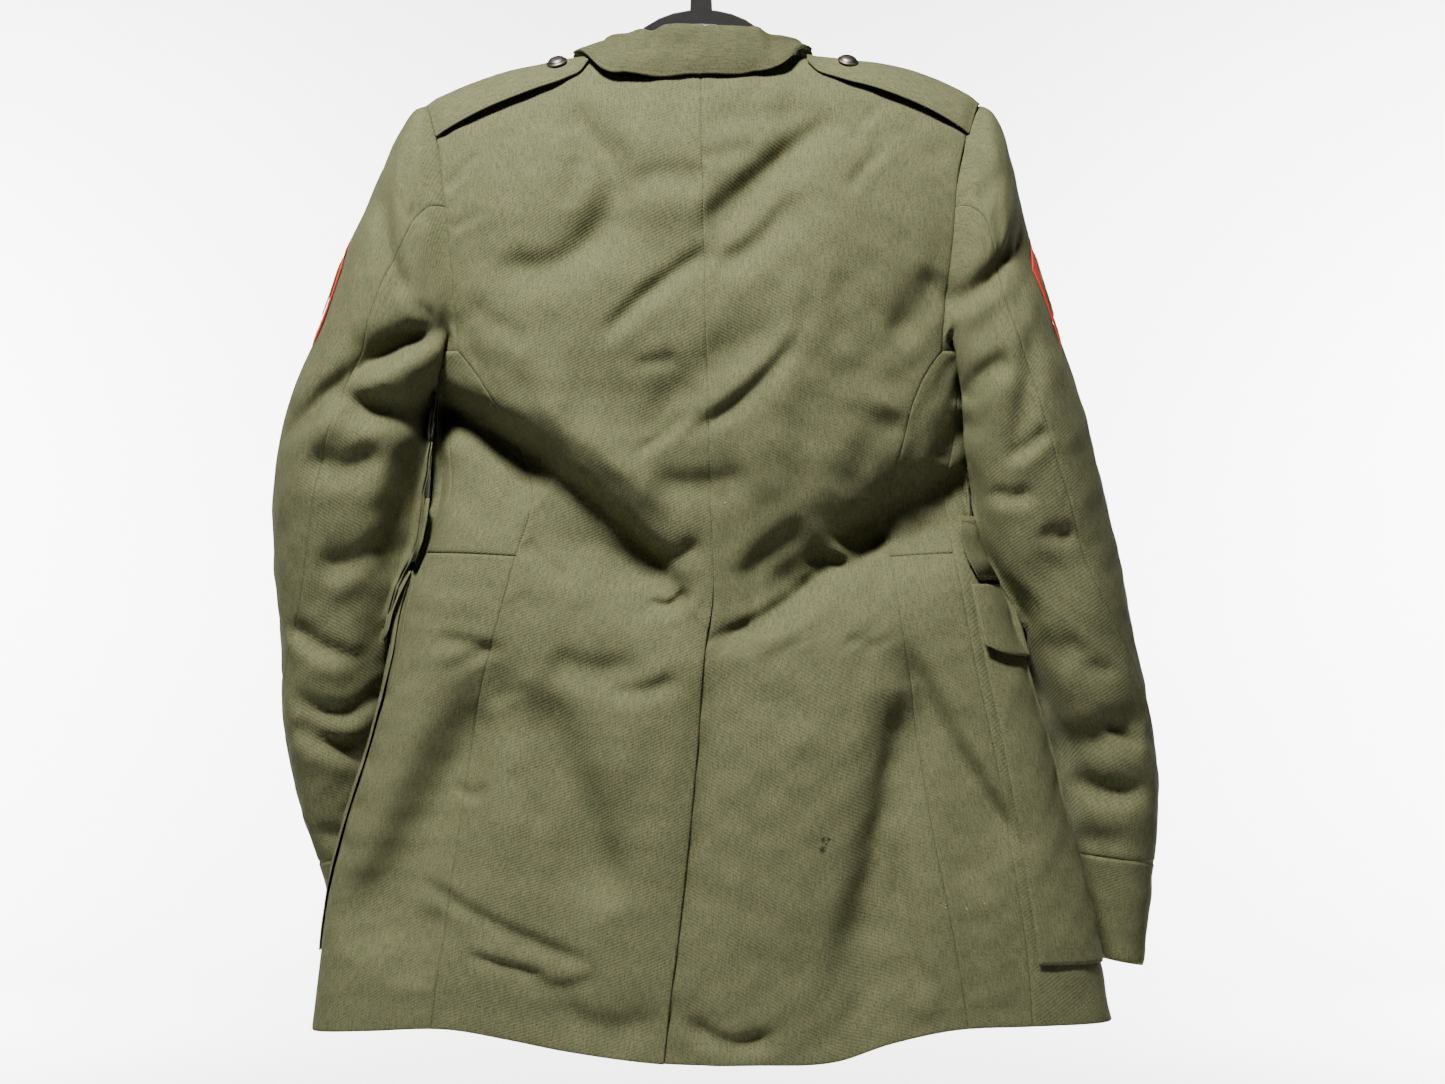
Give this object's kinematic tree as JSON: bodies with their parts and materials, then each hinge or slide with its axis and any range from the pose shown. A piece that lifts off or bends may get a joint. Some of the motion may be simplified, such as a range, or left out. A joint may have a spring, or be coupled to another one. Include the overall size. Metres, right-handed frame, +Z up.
{
  "type": "military dress jacket on a hanger",
  "caption": "Olive service coat with shoulder straps, side belt, patch pockets and flared skirt with a back vent, hanging on a thin black hanger.",
  "frame": {"origin": "inner top of the hanger's hook, where it bears on the rail", "axes": "+Z up, +X towards the wearer's right as seen from behind, +Y towards the buttoned front; the pictured back faces -Y"},
  "size_m": [0.6817, 0.2163, 0.8653],
  "materials": {
    "olive_cloth": "wool serge",
    "red_cloth": "felt",
    "green_cloth": "felt",
    "button_metal": "dull bronze",
    "buckle_brass": "polished",
    "hanger_black": "flocked",
    "hook_steel": "plated wire"
  },
  "bodies": {
    "root": {"back_left": "olive_cloth", "back_right": "olive_cloth", "side_upper_left": "olive_cloth", "side_upper_right": "olive_cloth", "side_lower_left": "olive_cloth", "side_lower_right": "olive_cloth", "front_left": "olive_cloth", "front_right": "olive_cloth", "lapel_left": "olive_cloth", "lapel_right": "olive_cloth", "collar_stand": "olive_cloth", "collar_fall": "olive_cloth", "sleeve_upper_left": "olive_cloth", "sleeve_upper_right": "olive_cloth", "sleeve_under_left": "olive_cloth", "sleeve_under_right": "olive_cloth", "cuff_left": "olive_cloth", "cuff_right": "olive_cloth", "strap_left": "olive_cloth", "strap_right": "olive_cloth", "pocket_left": "olive_cloth", "pocket_right": "olive_cloth", "flap_left": "olive_cloth", "flap_right": "olive_cloth", "belt_left": "olive_cloth", "belt_right": "olive_cloth", "strap_button_left": "button_metal", "flap_button_left": "button_metal", "chevron_base_left": "red_cloth", "chevron_stripe_left": "green_cloth", "strap_button_right": "button_metal", "flap_button_right": "button_metal", "chevron_base_right": "red_cloth", "chevron_stripe_right": "green_cloth", "front_button_1": "button_metal", "front_button_2": "button_metal", "front_button_3": "button_metal", "front_button_4": "button_metal", "belt_buckle": "buckle_brass", "belt_prong": "buckle_brass", "hanger_body": "hanger_black", "hanger_hook": "hook_steel"}
  },
  "joints": []
}
